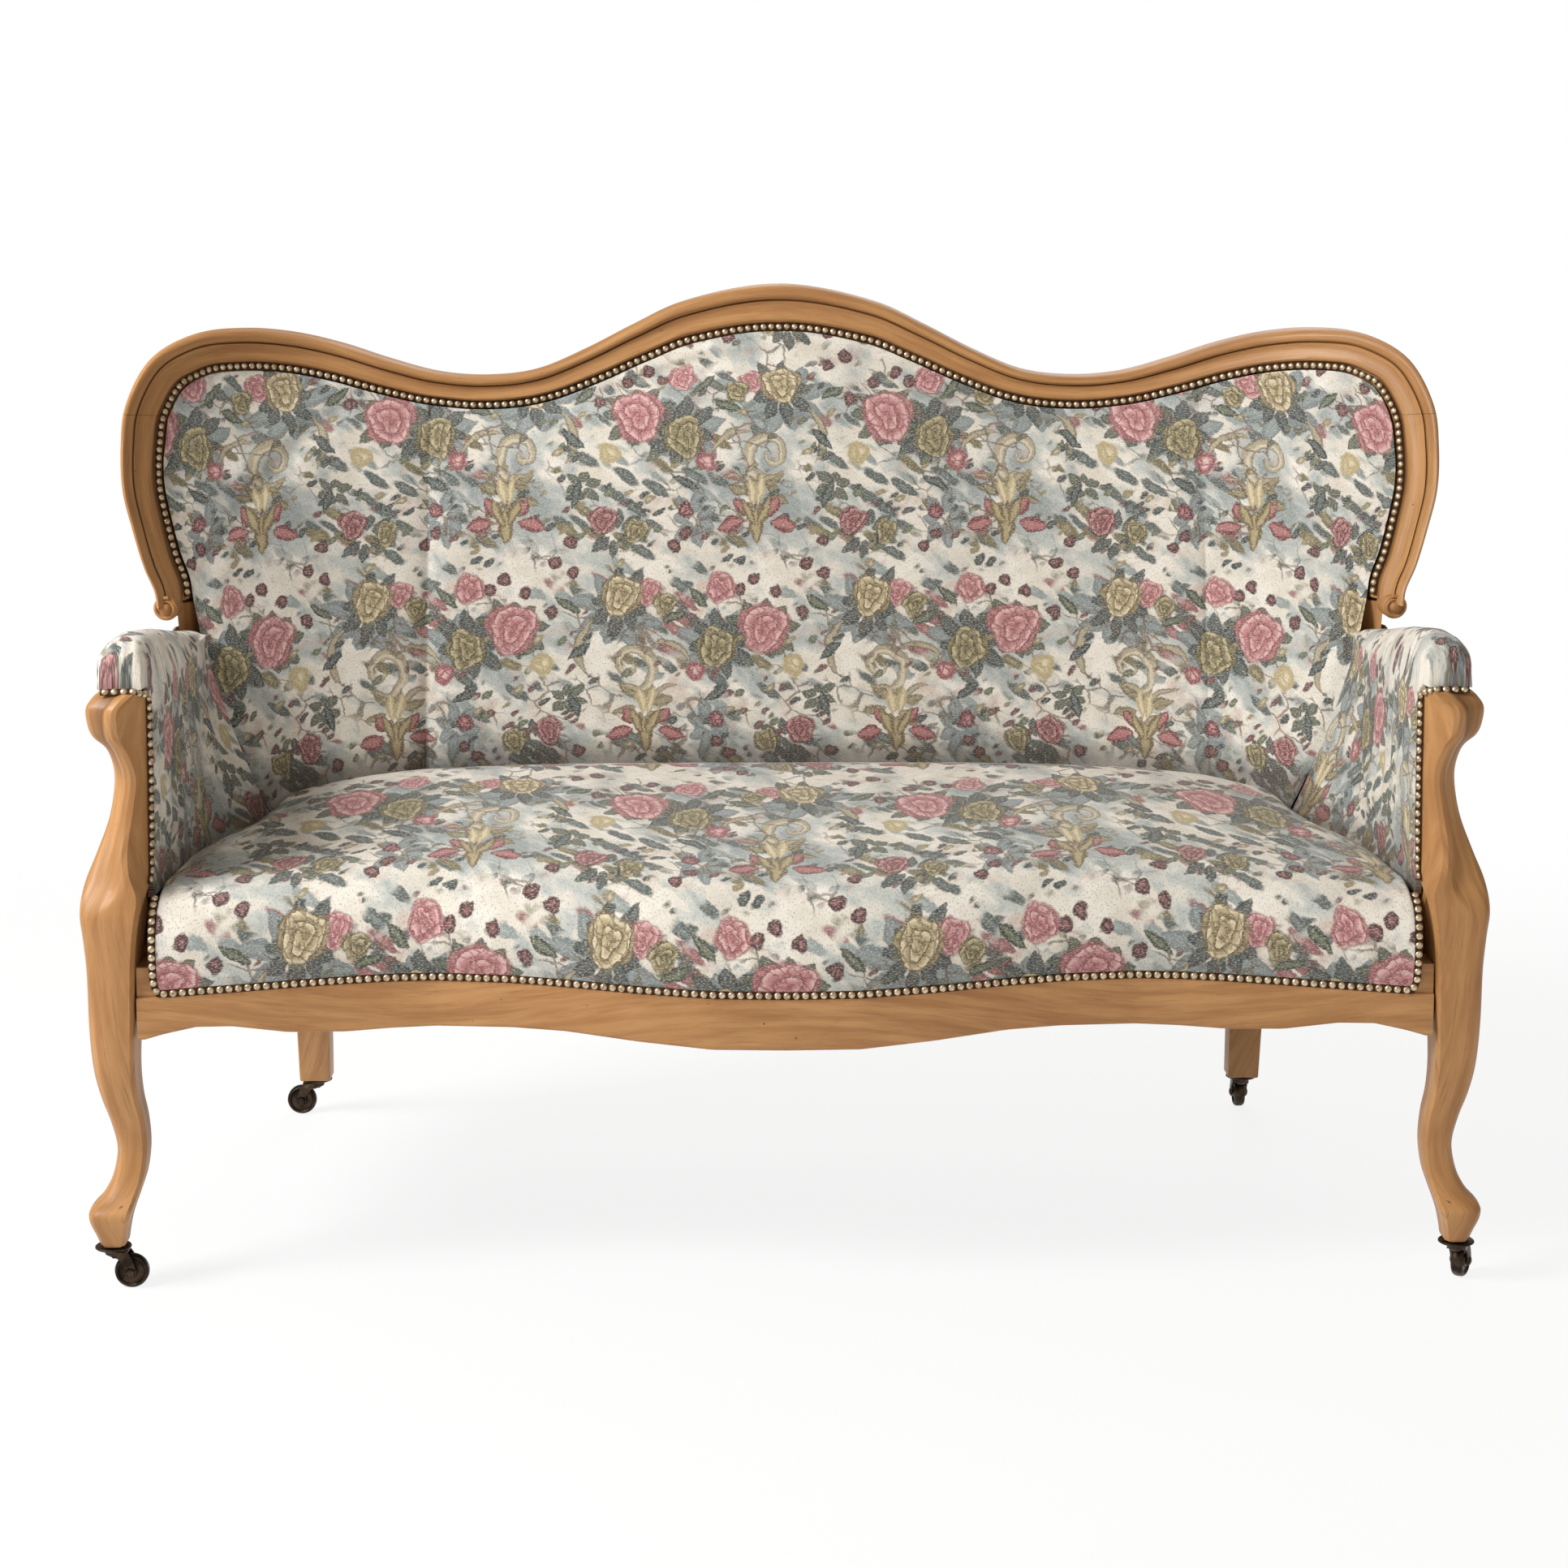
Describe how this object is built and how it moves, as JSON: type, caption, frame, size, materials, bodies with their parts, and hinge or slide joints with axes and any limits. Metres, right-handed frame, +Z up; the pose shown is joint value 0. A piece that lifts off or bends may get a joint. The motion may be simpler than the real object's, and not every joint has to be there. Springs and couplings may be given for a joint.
{
  "type": "camelback sofa",
  "caption": "Camelback sofa with a moulded show-wood back, wrap-round wings, sprung seat, rolled arms and cabriole front legs on swivelling castors.",
  "frame": {"origin": "middle of the bounding box, on the floor that the castors stand on", "axes": "+Z up, +Y to the back, +X along the width to the right as seen from the front"},
  "size_m": [1.616, 0.8278, 1.088],
  "materials": {
    "show_wood": "pale honey-brown oak with a soft worn wax sheen",
    "frame_wood": "plain beech, unfinished",
    "floral_cloth": "woven tapestry with roses, leaves and scrolls on cream",
    "stuffing": "horsehair in hessian",
    "webbing": "jute",
    "bottom_cloth": "black cotton",
    "braid": "dark brown woven braid",
    "spring_steel": "dull steel wire",
    "bronze": "dark bronzed brass"
  },
  "bodies": {
    "sofa": {"crest_rail": "show_wood", "back_side_left": "show_wood", "back_side_right": "show_wood", "front_leg_left": "show_wood", "front_leg_right": "show_wood", "back_leg_left": "show_wood", "back_leg_right": "show_wood", "front_seat_rail": "show_wood", "side_seat_rail_left": "show_wood", "side_seat_rail_right": "show_wood", "back_seat_rail": "frame_wood", "back_lower_rail": "frame_wood", "arm_rail_left": "frame_wood", "arm_rail_right": "frame_wood", "corner_block_front_left": "frame_wood", "corner_block_front_right": "frame_wood", "corner_block_back_left": "frame_wood", "corner_block_back_right": "frame_wood", "seat_webbing": "webbing", "back_webbing": "webbing", "bottom_cloth": "bottom_cloth", "seat_spring_1": "spring_steel", "seat_spring_2": "spring_steel", "seat_spring_3": "spring_steel", "seat_spring_4": "spring_steel", "seat_spring_5": "spring_steel", "seat_spring_6": "spring_steel", "seat_stuffing": "stuffing", "back_stuffing": "stuffing", "arm_stuffing_left": "stuffing", "arm_stuffing_right": "stuffing", "seat_cover": "floral_cloth", "back_cover": "floral_cloth", "wing_cover_left": "floral_cloth", "wing_cover_right": "floral_cloth", "arm_cover_left": "floral_cloth", "arm_cover_right": "floral_cloth", "outside_back_cover": "floral_cloth", "outside_arm_cover_left": "floral_cloth", "outside_arm_cover_right": "floral_cloth", "back_gimp": "braid", "seat_gimp": "braid", "arm_gimp_left": "braid", "arm_gimp_right": "braid", "castor_front_left_socket": "bronze", "castor_front_right_socket": "bronze", "castor_back_left_socket": "bronze", "castor_back_right_socket": "bronze"},
    "front_left_horn": {"castor_front_left_horn": "bronze", "castor_front_left_axle": "bronze"},
    "front_left_wheel": {"castor_front_left_wheel": "bronze"},
    "front_right_horn": {"castor_front_right_horn": "bronze", "castor_front_right_axle": "bronze"},
    "front_right_wheel": {"castor_front_right_wheel": "bronze"},
    "back_left_horn": {"castor_back_left_horn": "bronze", "castor_back_left_axle": "bronze"},
    "back_left_wheel": {"castor_back_left_wheel": "bronze"},
    "back_right_horn": {"castor_back_right_horn": "bronze", "castor_back_right_axle": "bronze"},
    "back_right_wheel": {"castor_back_right_wheel": "bronze"}
  },
  "joints": [
    {"name": "front_left_swivel", "type": "hinge", "parent": "sofa", "child": "front_left_horn", "pos_m": [-0.748, -0.37648, 0.04], "axis": [0, 0, 1], "continuous": true},
    {"name": "front_left_roll", "type": "hinge", "parent": "front_left_horn", "child": "front_left_wheel", "pos_m": [-0.728, -0.37648, 0.019], "axis": [0, 1, 0], "continuous": true},
    {"name": "front_right_swivel", "type": "hinge", "parent": "sofa", "child": "front_right_horn", "pos_m": [0.748, -0.37648, 0.04], "axis": [0, 0, 1], "continuous": true},
    {"name": "front_right_roll", "type": "hinge", "parent": "front_right_horn", "child": "front_right_wheel", "pos_m": [0.758, -0.35916, 0.019], "axis": [-0.866, 0.5, 0], "continuous": true},
    {"name": "back_left_swivel", "type": "hinge", "parent": "sofa", "child": "back_left_horn", "pos_m": [-0.612, 0.29152, 0.04], "axis": [0, 0, 1], "continuous": true},
    {"name": "back_left_roll", "type": "hinge", "parent": "back_left_horn", "child": "back_left_wheel", "pos_m": [-0.632, 0.29152, 0.019], "axis": [0, 1, 0], "continuous": true},
    {"name": "back_right_swivel", "type": "hinge", "parent": "sofa", "child": "back_right_horn", "pos_m": [0.612, 0.29152, 0.04], "axis": [0, 0, 1], "continuous": true},
    {"name": "back_right_roll", "type": "hinge", "parent": "back_right_horn", "child": "back_right_wheel", "pos_m": [0.612, 0.31152, 0.019], "axis": [1, 0, 0], "continuous": true}
  ]
}
